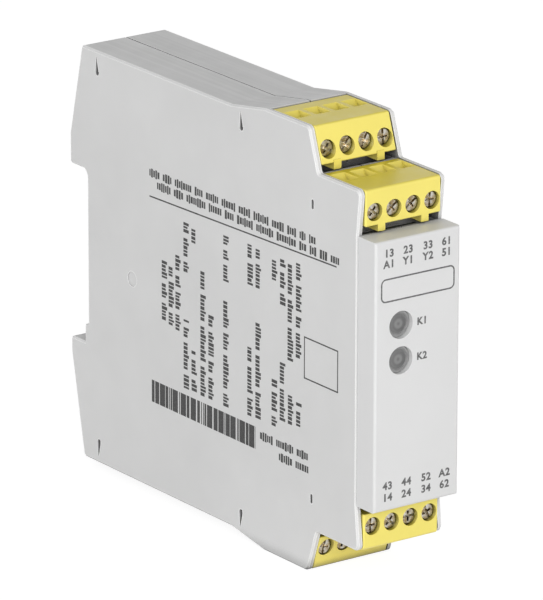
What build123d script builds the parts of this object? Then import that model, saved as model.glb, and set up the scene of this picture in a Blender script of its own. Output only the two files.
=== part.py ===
from build123d import *
from math import cos, pi, sin
import os

# Safety relay module for a 35 mm rail: two half shells, a front cover and four pull-off terminal plugs.
# Millimetres. X across the module, -Y to its front, +Z up.
# The origin is the middle of the rail's height, on the face that rests against the rail.
os.makedirs("parts", exist_ok=True)

# Poles, and the width of the module that they need
POLES = 4
PITCH = 5.0
POLE_WALL = 1.0              # between the screws of two poles
SIDE_MARGIN = 1.25           # from the outer poles' share of the width to the side

# Envelope of the side walls
MID_Z = -1.6                 # height half way between the top and the bottom of the side walls
HALF_HEIGHT = 50.0           # from MID_Z to the edge over the rear plugs
BODY_DROP = 2.0              # the body behind the plugs is that much lower
WALL = 1.2                   # side wall
SHELL = 1.5                  # walls that run between the side walls
REAR_Y = 1.9                 # rear corner of the top and the bottom
FRONT_Y = -102.0             # outermost edge of the side walls
COVER_SEAT_BACK = 1.1        # front edge of the side walls behind the cover
RAMP_LENGTH = 12.0           # where the top rises from the body's height to the plugs'
RAMP_GAP = 1.0               # from the ramp's end to the wall behind the rear plugs
EDGE_BREAK = 0.4             # long edges of the side walls
CORNER_ROUND = 1.5           # corners of the side walls beside the plugs
REAR_ROUND = 0.8

# Notch for the rail
RAIL_HEIGHT = 35.0
RAIL_GAP = 0.6               # above the rail, so that it can be tilted in
RAIL_EDGE = 1.0              # thickness of the rail's edge
NOTCH_DEPTH = 6.7
LIP_HEIGHT = 7.2             # of the lip over the notch
LOW_LIP_HEIGHT = 3.6
LEDGE_DROP = 4.9             # lower edge of the notch, below the rail
STEP_DEPTH = 1.3             # small step under the rail's lower edge
STEP_GAP = 0.4
NOTCH_ROUND = 2.0
LIP_ROUND = 0.6
HOOK_GAP = 0.25              # between the rail's edge and the hooks that hold it
HOOK_THICK = 2.0
HOOK_REACH = 2.2
HOOK_SIDE_GAP = 2.05         # from the inside of the side walls

# Seam between the two half shells
SEAM_X = 0.4
SEAM_GROOVE = 0.2
LAP_LENGTH = 0.8
LAP_THICK = 0.65
LAP_GAP = 0.08

# Latch marks in the left wall
REAR_LATCH_Y = -4.2
RAMP_LATCH_BACK = 3.9        # from the start of the ramp
LATCH_LENGTH = 4.4
LATCH_WIDTH = 1.3
LATCH_INSET = 3.4            # from the wall's edge to the mark's middle
LATCH_GAP = 0.2
ARM_WIDTH = 2.0
ARM_THICK = 1.6
PEEP_BACK = 17.1             # from the front edge
PEEP_INSET = 16.9
PEEP_LENGTH = 2.2
PEEP_WIDTH = 0.8
GATE_Y = -17.5
GATE_Z = -2.8
GATE_RADIUS = 1.7
GATE_DEPTH = 0.25

# Terminal plugs
PLUG_SIDE_GAP = 0.15
PLUG_SINK = 0.15             # outer face of a plug below the edge of the side walls
PLUG_HEIGHT = 9.5
PLUG_DEPTH = 15.2            # along its outer face
PLUG_FLOOR_GAP = 0.3
PLUG_BACK_GAP = 0.3
ROW_STEP = 9.7               # height between the two rows
ROW_LEAN = 3.3               # the rear plug's face leans back by that much
SCREW_INSET = 5.1            # screw axis below the outer face
PRY_HEIGHT = 1.4             # slot under a plug for a screwdriver
PRY_DEPTH = 6.0
PLUG_FOOT_INSET = 4.2        # middle of a plug's foot, from the plug's side
PLUG_FOOT_WIDTH = 1.9
PLUG_ROUND = 0.7
PLUG_EASE = 0.3              # rounding of the plug's other long edges
PLUG_EDGE_BREAK = 0.25
PRY_WINDOW_SIDE = 0.65       # from the inside of the side walls
PRY_WINDOW_DEPTH = 4.6
PRY_WINDOW_RIM = 0.6

# One pole, measured from the plug's face along the screw
HEAD_GAP = 0.15
HEAD_START = 0.9
HEAD_HEIGHT = 1.3
DRIVE_SLOT = 0.6
DRIVE_DEPTH = 0.7
COLLAR_GAP = 0.1
COLLAR = 1.3
SHANK_RADIUS = 1.2
SHANK_FIT = 0.05             # running fit in the clamp
SHANK_CLEAR = 0.15           # in the collar
CAGE_TRAVEL = 2.0
CAGE_GAP = 0.1
CAGE_THREAD_WALL = 1.3
CAGE_WALL = 0.6
CAGE_WIRE_GAP = 2.2
CAGE_TOP = 2.3               # above the screw axis
CAGE_LOW = 2.0               # below it
BAR_THICK = 0.8
STRIP_THICK = 0.5
FUNNEL_WALL = 1.2            # between the mouths of two funnels
FUNNEL_LENGTH = 5.0
FUNNEL_TAPER = 0.4           # of each side wall
FUNNEL_LEAN = 0.6            # of its front wall, to the rear
SOCKET_DEPTH = 3.8
PIN = 1.0
PIN_REACH = 3.5
SOCKET_GAP = 0.1

# Pin headers and board
HEADER_DEPTH = 7.6
HEADER_HEIGHT = 4.8
HEADER_GAP = 0.1             # in its window in the shell
HEADER_SIDE_GAP = 0.45
LEG_EDGE = 0.4               # from the board's edge to the first leg of a header
LEG_PITCH = 1.3
BOARD_THICK = 1.5
BOARD_GAP = 0.1              # to the left wall
BOARD_EDGE_GAP = 0.5
HOLE_GAP = 0.1

# Front cover, light guide and lamps
COVER_DEPTH = 6.4            # in front of its seat
COVER_SIDE_GAP = 0.1         # from the outside of the side walls
COVER_STEP = 0.25            # below the floor under the front plugs
COVER_GAP = 0.3              # to the side walls
COVER_SIDE = 1.4
COVER_FACE = 1.6
COVER_ROUND = 0.6
OPENING_SIDE = 1.65          # front opening of the shell, from the inside of the side walls
OPENING_INSET = 3.2          # and inside the cover's height
SNAP_HALF_WIDTH = 4.0
SNAP_THICK = 1.0
SNAP_GAP = 0.2
SNAP_BARB = 0.6
SNAP_REACH = 0.8
LAMP_INSET = 5.4             # from the cover's inner side
LAMP_Z = (9.35, 1.45)
WINDOW_RADIUS = 3.1
WINDOW_RECESS = 1.3
LENS_GAP = 0.1
GUIDE_THICK = 1.0
GUIDE_MARGIN = 1.4
ROD_RADIUS = 1.7
ROD_LENGTH = 2.5
LAMP_RADIUS = 1.5
LAMP_TIP_RADIUS = 0.8
LAMP_GAP = 0.3
LAMP_BODY = 2.9
LAMP_FLANGE = 0.4
LAMP_FLANGE_THICK = 1.0
LEAD = 0.5
LEAD_PITCH = 2.54
LEAD_LENGTH = 2.0

# Relays and capacitor
RELAY_LENGTH = 52.0
RELAY_WIDTH = 16.5
RELAY_HEAD_ROOM = 2.9        # to the right wall
RELAY_REAR_Y = -5.0
RELAY_Z = (13.0, -15.0)
RELAY_BREAK = 0.6
CAP_RADIUS = 5.0
CAP_HEIGHT = 12.5
CAP_GAP = 10.0               # in front of the relays
CAP_Z = 1.0
CAP_CRIMP_UP = 1.8
CAP_CRIMP = 0.35

# Rail foot and its spring
FOOT_GAP = 0.15
FOOT_TRAVEL = 3.0
FOOT_HALF = 6.0
FLANGE_REACH = 1.2
FLANGE_THICK = 1.4
FLANGE_LOW = 4.0             # from the foot's lower end; the flanges stop the foot after its travel
SLAB_START_Y = 0.2
SLAB_THICK = 2.2
HEAD_THICK = 3.2
HEAD_DROP = 2.1              # from the ledge of the notch to the underside of the foot's head
NOSE_OVERLAP = 1.3           # behind the rail's lower edge
NOSE_CHAMFER = 0.9
FOOT_REST = 0.2              # the pulled foot stays that far inside the body
CHANNEL_WALL = 1.4
WINDOW_DROP = 3.1            # from the underside of the foot's head to its window
WINDOW_UP = 5.35             # from the foot's lower end to its window
SPRING_RADIUS = 1.2
SPRING_WIRE = 0.45
SPRING_TURNS = 5.5
SPRING_STEPS = 10            # straight runs in a turn
SPRING_SIDES = 8             # of the wire's section
SPRING_Y = 1.7
SPRING_SIDE_GAP = 0.5
LUG_THICK = 1.5
LUG_HALF = 1.7
PULL_HALF = 3.0
PULL_HEIGHT = 1.6
PULL_UP = 1.6                # from the foot's lower end

# Worked out from the sizes above: across the module
WIDTH = POLES * PITCH + 2 * SIDE_MARGIN
INNER_X = WIDTH / 2 - WALL
PLUG_WIDTH = 2 * (INNER_X - PLUG_SIDE_GAP)
COVER_WIDTH = WIDTH - 2 * COVER_SIDE_GAP
BOARD_X = -INNER_X + BOARD_GAP
BOARD_FACE_X = BOARD_X + BOARD_THICK
RELAY_HEIGHT = INNER_X - RELAY_HEAD_ROOM - BOARD_FACE_X
LAMP_X = -COVER_WIDTH / 2 + COVER_SIDE + LAMP_INSET
HEAD_HOLE_RADIUS = (PITCH - POLE_WALL) / 2
HEAD_RADIUS = HEAD_HOLE_RADIUS - HEAD_GAP
CAGE_WIDTH = PITCH - POLE_WALL
CONTACT_WIDTH = CAGE_WIDTH - 2 * CAGE_WALL - 2 * CAGE_GAP
FUNNEL_WIDTH = PITCH - FUNNEL_WALL
FUNNEL_NECK = FUNNEL_WIDTH - 2 * FUNNEL_TAPER
POLE_X = [(pole - (POLES - 1) / 2) * PITCH for pole in range(POLES)]

# Heights
EDGE_Z = MID_Z + HALF_HEIGHT
BODY_Z = EDGE_Z - BODY_DROP
STEP_Z = EDGE_Z - ROW_STEP
COVER_TOP_Z = STEP_Z - PLUG_SINK - PLUG_HEIGHT - PLUG_FLOOR_GAP - COVER_STEP
NOTCH_TOP_Z = RAIL_HEIGHT / 2 + RAIL_GAP
STEP_TOP_Z = -RAIL_HEIGHT / 2 - STEP_GAP
LEDGE_Z = -RAIL_HEIGHT / 2 - LEDGE_DROP
HEAD_LOW_Z = LEDGE_Z - HEAD_DROP
FOOT_BOTTOM_Z = 2 * MID_Z - BODY_Z + FOOT_TRAVEL + FOOT_REST
WINDOW_TOP_Z = HEAD_LOW_Z - WINDOW_DROP
WINDOW_LOW_Z = FOOT_BOTTOM_Z + WINDOW_UP
SPRING_LOW_Z = WINDOW_LOW_Z + FOOT_GAP + LUG_THICK

# From the rail to the front
HOOK_Y = RAIL_EDGE + HOOK_GAP
COVER_SEAT_Y = FRONT_Y + COVER_SEAT_BACK
COVER_FRONT_Y = COVER_SEAT_Y - COVER_DEPTH
RAMP_END_Y = FRONT_Y + 2 * PLUG_DEPTH + ROW_LEAN + PLUG_BACK_GAP + RAMP_GAP
RAMP_START_Y = RAMP_END_Y + RAMP_LENGTH
LATCH_Y = (REAR_LATCH_Y, RAMP_START_Y - RAMP_LATCH_BACK)
CAP_Y = RELAY_REAR_Y - RELAY_LENGTH - CAP_GAP - CAP_RADIUS

# Along a screw, from the plug's face
CAGE_OPEN = HEAD_START + HEAD_HEIGHT + COLLAR_GAP + COLLAR + CAGE_GAP + CAGE_TRAVEL
BAR_START = CAGE_OPEN + CAGE_THREAD_WALL + CAGE_GAP
CAGE_INNER_END = BAR_START + BAR_THICK + CAGE_WIRE_GAP
CAGE_END = CAGE_INNER_END + CAGE_WALL
STRIP_LOW = CAGE_LOW + CAGE_GAP + STRIP_THICK
CAVITY_LOW = STRIP_LOW + CAGE_GAP / 2

# Lamps
LAMP_TIP_Y = COVER_FRONT_Y + COVER_FACE + GUIDE_THICK + ROD_LENGTH + LAMP_GAP
LEAD_BEND_Y = LAMP_TIP_Y + LAMP_RADIUS + LAMP_BODY + LEAD_LENGTH


def block(x, y, z):
    """Box from three (low, high) pairs."""
    size = [high - low for low, high in (x, y, z)]
    return Pos((x[0] + x[1]) / 2, (y[0] + y[1]) / 2, (z[0] + z[1]) / 2) * Box(*size)


def rod(radius, x, z, y_from, y_to):
    """Cylinder along Y."""
    place = Pos(x, (y_from + y_to) / 2, z) * Rot(90, 0, 0)
    return place * Cylinder(radius, abs(y_to - y_from))


def slab(face, x_from, x_to):
    """Outline in the YZ plane, pulled along X."""
    return extrude(Plane.YZ.offset(x_from) * face, x_to - x_from)


def below(z):
    """Mirror image of a height, about the middle of the side walls."""
    return 2 * MID_Z - z


def turned(shape, lower):
    """The lower half of the module mirrors the upper half."""
    if not lower:
        return shape
    return mirror(shape, about=Plane.XY.offset(MID_Z))


def rounded_outline(corners):
    """Closed outline in the YZ plane from (y, z, corner radius)."""
    face = make_face(Polyline(*[(y, z) for y, z, _ in corners], close=True))
    for radius in sorted({r for _, _, r in corners if r > 0}):
        spots = [(y, z) for y, z, r in corners if r == radius]
        picked = [v for v in face.vertices()
                  if any(abs(v.X - y) + abs(v.Y - z) < 1e-4 for y, z in spots)]
        face = fillet(picked, radius)
    return face


class Row:
    """One row of plugs above the middle of the module."""

    def __init__(self, edge_z, face_y, lean):
        self.top_z = edge_z - PLUG_SINK
        self.screw_z = self.top_z - SCREW_INSET
        self.low_z = self.top_z - PLUG_HEIGHT
        self.under_z = self.low_z + PRY_HEIGHT
        self.top_y = face_y
        self.lean = lean
        self.back_y = face_y + PLUG_DEPTH
        self.wall_y = self.back_y + PLUG_BACK_GAP
        self.floor_z = self.low_z - PLUG_FLOOR_GAP
        self.screw_y = self.face_y(self.screw_z)

    def face_y(self, z):
        return self.top_y - self.lean * (self.top_z - z) / PLUG_HEIGHT


REAR_ROW = Row(EDGE_Z, FRONT_Y + PLUG_DEPTH + ROW_LEAN, ROW_LEAN)
FRONT_ROW = Row(STEP_Z, FRONT_Y, 0.0)
PLACES = {
    "top_rear": (REAR_ROW, False),
    "top_front": (FRONT_ROW, False),
    "bottom_front": (FRONT_ROW, True),
    "bottom_rear": (REAR_ROW, True),
}


def notch_corners():
    """The rear of the module, from the lower lip up to the upper one."""
    return [
        (NOTCH_DEPTH, LEDGE_Z - LOW_LIP_HEIGHT, REAR_ROUND),
        (NOTCH_DEPTH, LEDGE_Z, LIP_ROUND),
        (STEP_DEPTH, LEDGE_Z, 0.0),
        (STEP_DEPTH, STEP_TOP_Z - STEP_GAP, 0.0),
        (0.0, STEP_TOP_Z, 0.0),
        (0.0, NOTCH_TOP_Z, NOTCH_ROUND),
        (NOTCH_DEPTH, NOTCH_TOP_Z, LIP_ROUND),
        (NOTCH_DEPTH, NOTCH_TOP_Z + LIP_HEIGHT, REAR_ROUND),
    ]


def both_halves(upper):
    """Closes an outline: the notch, the upper corners, and their mirror image below."""
    lower = [(y, below(z), r) for y, z, r in reversed(upper)]
    return notch_corners() + upper + lower


def wall_outline():
    upper = [
        (REAR_Y, BODY_Z, REAR_ROUND),
        (RAMP_START_Y, BODY_Z, 0.0),
        (RAMP_END_Y, EDGE_Z, 0.0),
        (REAR_ROW.top_y, EDGE_Z, CORNER_ROUND),
        (FRONT_ROW.back_y, STEP_Z, REAR_ROUND),
        (FRONT_Y, STEP_Z, CORNER_ROUND),
        (COVER_SEAT_Y, COVER_TOP_Z, 0.0),
    ]
    return rounded_outline(both_halves(upper))


def core_outline():
    """Outline of the shell between the side walls, stepped back where the plugs sit."""
    upper = [
        (REAR_Y, BODY_Z, REAR_ROUND),
        (RAMP_START_Y, BODY_Z, 0.0),
        (RAMP_END_Y, EDGE_Z, 0.0),
        (REAR_ROW.wall_y, EDGE_Z, 0.0),
        (REAR_ROW.wall_y, REAR_ROW.floor_z, 0.0),
        (FRONT_ROW.wall_y, REAR_ROW.floor_z, 0.0),
        (FRONT_ROW.wall_y, COVER_TOP_Z, 0.0),
        (COVER_SEAT_Y, COVER_TOP_Z, 0.0),
    ]
    return rounded_outline(both_halves(upper))


def inset_core(depth):
    return offset(core_outline(), -depth, kind=Kind.INTERSECTION)


CORE = core_outline()
CAVITY = inset_core(SHELL)


def teardrop(y, z, gap=0.0):
    """Outline of a latch mark, pointed at its outer end."""
    half = LATCH_WIDTH / 2 - gap
    round_z = z - LATCH_LENGTH / 2 + LATCH_WIDTH / 2
    tip = Polygon((y - half, round_z), (y + half, round_z), (y + half / 2, z + LATCH_LENGTH / 2 - 2 * gap),
                  align=None)
    return Sketch() + [Pos(y, round_z) * Circle(half), tip]


def peep_slot():
    face = Pos(FRONT_Y + PEEP_BACK, EDGE_Z - PEEP_INSET) * SlotOverall(PEEP_LENGTH, PEEP_WIDTH, rotation=90)
    return slab(face, -WIDTH / 2 - 1, -INNER_X)


def latch_z(y):
    """Height of a latch mark, under the edge of the wall where it stands."""
    rise = (RAMP_START_Y - y) / (RAMP_START_Y - RAMP_END_Y)
    return BODY_Z + BODY_DROP * min(max(rise, 0.0), 1.0) - LATCH_INSET


def arm_low_z(y):
    """Lower face of a snap arm, level with the round end of its mark."""
    return latch_z(y) - LATCH_LENGTH / 2 + LATCH_WIDTH / 2


def latch_arms():
    """Snap arms of the right shell; their tips stand in the latch marks of the left one."""
    arms = []
    for y in LATCH_Y:
        low = arm_low_z(y)
        span = (y - ARM_WIDTH / 2, y + ARM_WIDTH / 2)
        arm = block((-INNER_X + LATCH_GAP, INNER_X), span, (low, low + ARM_THICK))
        root = block((SEAM_X + LAP_LENGTH + LATCH_GAP, INNER_X), span,
                     (low + ARM_THICK, latch_z(y) + LATCH_INSET - SHELL / 2))
        tip = slab(teardrop(y, latch_z(y), LATCH_GAP), -INNER_X - WALL / 2, -INNER_X + LATCH_GAP)
        tip &= block((-WIDTH / 2, 0), span, (low, low + ARM_THICK))
        arms += [arm + root + tip]
    return arms + [turned(arm, True) for arm in arms]


def header_window(row):
    return block(
        (BOARD_FACE_X - HEADER_GAP, INNER_X - HEADER_SIDE_GAP + HEADER_GAP),
        (row.wall_y - SHELL, row.wall_y + SHELL + 1),
        (row.screw_z - HEADER_HEIGHT / 2 - HEADER_GAP, row.screw_z + HEADER_HEIGHT / 2 + HEADER_GAP),
    )


def pry_window(row, front_y):
    """Opening in the floor under a plug's front end."""
    start = front_y + PRY_WINDOW_RIM
    half = INNER_X - PRY_WINDOW_SIDE
    return block((-half, half), (start, start + PRY_WINDOW_DEPTH),
                 (row.floor_z - 2 * SHELL, row.floor_z + 1))


def shell_cuts():
    """What is cut from both half shells."""
    cuts = []
    for row, front_y in ((REAR_ROW, FRONT_ROW.wall_y), (FRONT_ROW, COVER_SEAT_Y)):
        for cut in (header_window(row), pry_window(row, front_y)):
            cuts += [cut, turned(cut, True)]
    top = COVER_TOP_Z - OPENING_INSET
    half = INNER_X - OPENING_SIDE
    cuts += [block((-half, half), (COVER_SEAT_Y - 1, COVER_SEAT_Y + SHELL + 0.1), (below(top), top))]
    slot = FOOT_HALF + FOOT_GAP
    groove = slot + FLANGE_REACH
    groove_z = (FOOT_BOTTOM_Z + FLANGE_LOW - FOOT_TRAVEL - FOOT_GAP, LEDGE_Z - 2 * FOOT_GAP)
    cuts += [
        block((-slot, slot), (0.0, NOTCH_DEPTH + 1), (below(BODY_Z) - 1, STEP_TOP_Z + FOOT_GAP)),
        block((-groove, groove), (0.0, SLAB_START_Y + FLANGE_THICK + FOOT_GAP), groove_z),
    ]
    return cuts


def shell_extras(x_from, x_to):
    """Walls round the foot's channel and the rail hook, on one side of the seam."""
    half = FOOT_HALF + FOOT_GAP + FLANGE_REACH + CHANNEL_WALL
    low, high = max(x_from, -half), min(x_to, half)
    guard = make_face(Polyline(
        (-CHANNEL_WALL, LEDGE_Z + SHELL), (STEP_DEPTH, LEDGE_Z), (NOTCH_DEPTH, LEDGE_Z),
        (NOTCH_DEPTH, LEDGE_Z - LOW_LIP_HEIGHT), (REAR_Y, below(BODY_Z)),
        (-CHANNEL_WALL, below(BODY_Z)), close=True))
    inside = slab(guard & CORE, low, high)
    hook_face = make_face(Polyline(
        (HOOK_Y, NOTCH_TOP_Z + SHELL / 2), (HOOK_Y, NOTCH_TOP_Z - HOOK_REACH),
        (HOOK_Y + HOOK_THICK / 2, NOTCH_TOP_Z - HOOK_REACH),
        (HOOK_Y + HOOK_THICK, NOTCH_TOP_Z - HOOK_REACH / 2),
        (HOOK_Y + HOOK_THICK, NOTCH_TOP_Z + SHELL / 2), close=True))
    hook_half = INNER_X - HOOK_SIDE_GAP
    hook = slab(hook_face, max(x_from, -hook_half), min(x_to, hook_half))
    return [inside, hook]


def spring_lug(x_from, x_to):
    """Fixed end of the foot's spring."""
    return block((max(x_from, -LUG_HALF), min(x_to, LUG_HALF)),
                 (-CHANNEL_WALL / 2, SPRING_Y + SPRING_RADIUS), (SPRING_LOW_Z - LUG_THICK, SPRING_LOW_Z))


def half_shell(outer_x, seam_side):
    """One half: its side wall and its share of the walls between the side walls."""
    sign = -1 if outer_x < 0 else 1
    wall = slab(wall_outline(), outer_x, outer_x - sign * WALL)
    outer_face = wall.faces().sort_by(Axis.X)[0 if sign < 0 else -1]
    wall = chamfer(outer_face.edges(), EDGE_BREAK)
    x_from, x_to = sorted((sign * INNER_X, SEAM_X))
    ring = slab(CORE - CAVITY, x_from, x_to)
    half = wall + ring
    for extra in shell_extras(x_from, x_to):
        half += extra
    groove = CORE - inset_core(2 * SEAM_GROOVE)
    half -= slab(groove, *sorted((SEAM_X, SEAM_X + seam_side * SEAM_GROOVE)))
    return half


def housing_left():
    half = half_shell(-WIDTH / 2, -1)
    lap = inset_core(SHELL - LAP_THICK) - CAVITY
    half += slab(lap, SEAM_X, SEAM_X + LAP_LENGTH)
    for cut in shell_cuts():
        half -= cut
    for y in LATCH_Y:
        mark = slab(teardrop(y, latch_z(y)), -WIDTH / 2 - 1, -INNER_X)
        half = half - mark - turned(mark, True)
    half = half - peep_slot() - turned(peep_slot(), True)
    dimple = Pos(-WIDTH / 2, GATE_Y, GATE_Z) * Rot(0, 90, 0) * Cylinder(GATE_RADIUS, 2 * GATE_DEPTH)
    return half - dimple + spring_lug(-INNER_X, SEAM_X)


def housing_right():
    half = half_shell(WIDTH / 2, 1)
    groove = inset_core(SHELL - LAP_THICK - LAP_GAP) - CAVITY
    half -= slab(groove, SEAM_X, SEAM_X + LAP_LENGTH + LAP_GAP)
    for cut in shell_cuts():
        half -= cut
    half += spring_lug(SEAM_X, INNER_X)
    for arm in latch_arms():
        half += arm
    return half


def front_cover():
    x = COVER_WIDTH / 2
    rim_y = COVER_SEAT_Y - COVER_GAP
    shape = block((-x, x), (COVER_FRONT_Y, rim_y), (below(COVER_TOP_Z), COVER_TOP_Z))
    front = shape.faces().sort_by(Axis.Y)[0]
    shape = fillet(front.edges(), COVER_ROUND)
    inner_y = COVER_FRONT_Y + COVER_FACE
    top = COVER_TOP_Z - COVER_SIDE
    shape -= block((-x + COVER_SIDE, x - COVER_SIDE), (inner_y, rim_y + 1), (below(top), top))
    for z in LAMP_Z:
        shape -= rod(WINDOW_RADIUS, LAMP_X, z, COVER_FRONT_Y - 1, inner_y + 1)
    edge = COVER_TOP_Z - OPENING_INSET
    catch_y = COVER_SEAT_Y + SHELL + SNAP_GAP
    arm = block((-SNAP_HALF_WIDTH, SNAP_HALF_WIDTH), (inner_y, catch_y + SNAP_REACH),
                (edge - SNAP_GAP - SNAP_THICK, edge - SNAP_GAP))
    barb = make_face(Polyline((catch_y, edge - SNAP_GAP), (catch_y, edge + SNAP_BARB),
                              (catch_y + SNAP_REACH, edge - SNAP_GAP), close=True))
    arm += slab(barb, -SNAP_HALF_WIDTH, SNAP_HALF_WIDTH)
    return shape + arm + turned(arm, True)


def light_guide():
    """One clear moulding: two lenses in the cover's windows and a rod behind each."""
    wall_y = COVER_FRONT_Y + COVER_FACE
    back_y = wall_y + GUIDE_THICK
    reach = WINDOW_RADIUS + GUIDE_MARGIN
    guide = block((LAMP_X - reach, LAMP_X + reach), (wall_y, back_y),
                  (min(LAMP_Z) - reach, max(LAMP_Z) + reach))
    guide = fillet(guide.edges().filter_by(Axis.Y), GUIDE_MARGIN)
    for z in LAMP_Z:
        guide += rod(WINDOW_RADIUS - LENS_GAP, LAMP_X, z, COVER_FRONT_Y + WINDOW_RECESS, back_y)
        guide += rod(ROD_RADIUS, LAMP_X, z, back_y, back_y + ROD_LENGTH)
    return guide


def lamp(z):
    """Wired lamp with a tapered end and two bent leads."""
    dome_y = LAMP_TIP_Y + LAMP_RADIUS
    base_y = dome_y + LAMP_BODY
    taper = Pos(LAMP_X, (LAMP_TIP_Y + dome_y) / 2, z) * Rot(90, 0, 0)
    shape = rod(LAMP_RADIUS, LAMP_X, z, dome_y, base_y)
    shape += taper * Cone(LAMP_RADIUS, LAMP_TIP_RADIUS, LAMP_RADIUS)
    shape += rod(LAMP_RADIUS + LAMP_FLANGE, LAMP_X, z, base_y - LAMP_FLANGE_THICK, base_y)
    for side in (-0.5, 0.5):
        lead_z = (z + side * LEAD_PITCH - LEAD / 2, z + side * LEAD_PITCH + LEAD / 2)
        shape += block((LAMP_X - LEAD / 2, LAMP_X + LEAD / 2), (base_y - LEAD, LEAD_BEND_Y), lead_z)
        shape += block((BOARD_X, LAMP_X + LEAD / 2), (LEAD_BEND_Y - LEAD, LEAD_BEND_Y), lead_z)
    return shape


def lead_holes():
    half = LEAD / 2 + HOLE_GAP
    mid_y = LEAD_BEND_Y - LEAD / 2
    holes = []
    for z in LAMP_Z:
        for side in (-0.5, 0.5):
            mid = z + side * LEAD_PITCH
            holes += [block((BOARD_X - 1, BOARD_FACE_X + 1), (mid_y - half, mid_y + half),
                            (mid - half, mid + half))]
    return holes


def leg_y(row, pole):
    """Where a pin's leg enters the board, counted from the board's edge."""
    return row.wall_y + SHELL + BOARD_EDGE_GAP + LEG_EDGE + PIN / 2 + LEG_PITCH * pole


def pin_set(row):
    """Four bent pins: each runs back from its socket and then sideways into the board."""
    z = (row.screw_z - PIN / 2, row.screw_z + PIN / 2)
    pins = []
    for pole, x in enumerate(POLE_X):
        leg = (leg_y(row, pole) - PIN / 2, leg_y(row, pole) + PIN / 2)
        pin = block((x - PIN / 2, x + PIN / 2), (row.back_y - PIN_REACH, leg[1]), z)
        pins += [pin + block((BOARD_X, x + PIN / 2), leg, z)]
    return pins


def header(row):
    body = block((BOARD_FACE_X, INNER_X - HEADER_SIDE_GAP), (row.wall_y, row.wall_y + HEADER_DEPTH),
                 (row.screw_z - HEADER_HEIGHT / 2, row.screw_z + HEADER_HEIGHT / 2))
    for pin in pin_set(row):
        body -= pin
    return body


def pin_holes(row):
    half = PIN / 2 + HOLE_GAP
    return [block((BOARD_X - 1, BOARD_FACE_X + 1), (leg_y(row, pole) - half, leg_y(row, pole) + half),
                  (row.screw_z - half, row.screw_z + half)) for pole in range(POLES)]


def main_board():
    board = slab(inset_core(SHELL + BOARD_EDGE_GAP), BOARD_X, BOARD_FACE_X)
    board -= block((BOARD_X - 1, BOARD_FACE_X + 1), (-CHANNEL_WALL - BOARD_EDGE_GAP, NOTCH_DEPTH),
                   (below(EDGE_Z), LEDGE_Z + SHELL + BOARD_EDGE_GAP))
    cuts = lead_holes()
    for row in (REAR_ROW, FRONT_ROW):
        for hole in pin_holes(row):
            cuts += [hole, turned(hole, True)]
    for y in LATCH_Y:
        low = arm_low_z(y) - BOARD_EDGE_GAP
        half = ARM_WIDTH / 2 + BOARD_EDGE_GAP
        cut = block((BOARD_X - 1, BOARD_FACE_X + 1), (y - half, y + half), (low, EDGE_Z))
        cuts += [cut, turned(cut, True)]
    for cut in cuts:
        board -= cut
    return board


def relay(z):
    """Sealed relay, lying on the board."""
    shape = block((BOARD_FACE_X, BOARD_FACE_X + RELAY_HEIGHT), (RELAY_REAR_Y - RELAY_LENGTH, RELAY_REAR_Y),
                  (z - RELAY_WIDTH / 2, z + RELAY_WIDTH / 2))
    top = shape.faces().sort_by(Axis.X)[-1]
    return chamfer(shape.edges().filter_by(Axis.X) + top.edges(), RELAY_BREAK)


def capacitor():
    """Can with a crimped groove near its foot, turned about its axis."""
    outline = make_face(Polyline(
        (0, 0), (CAP_RADIUS, 0), (CAP_RADIUS, CAP_CRIMP_UP - CAP_CRIMP),
        (CAP_RADIUS - CAP_CRIMP, CAP_CRIMP_UP),
        (CAP_RADIUS, CAP_CRIMP_UP + CAP_CRIMP), (CAP_RADIUS, CAP_HEIGHT - CAP_CRIMP),
        (CAP_RADIUS - CAP_CRIMP, CAP_HEIGHT), (0, CAP_HEIGHT), close=True))
    can = revolve(Plane.XZ * outline, Axis.Z)
    return Pos(BOARD_FACE_X, CAP_Y, CAP_Z) * Rot(0, 90, 0) * can


def plug_profile(row):
    under_y = row.face_y(row.under_z)
    pry_y = under_y + PRY_DEPTH
    return rounded_outline([
        (row.back_y, row.top_z, PLUG_EASE),
        (row.top_y, row.top_z, PLUG_ROUND),
        (under_y, row.under_z, PLUG_EASE),
        (pry_y, row.under_z, 0.0),
        (pry_y, row.low_z, 0.0),
        (row.back_y, row.low_z, PLUG_EASE),
    ])


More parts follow.
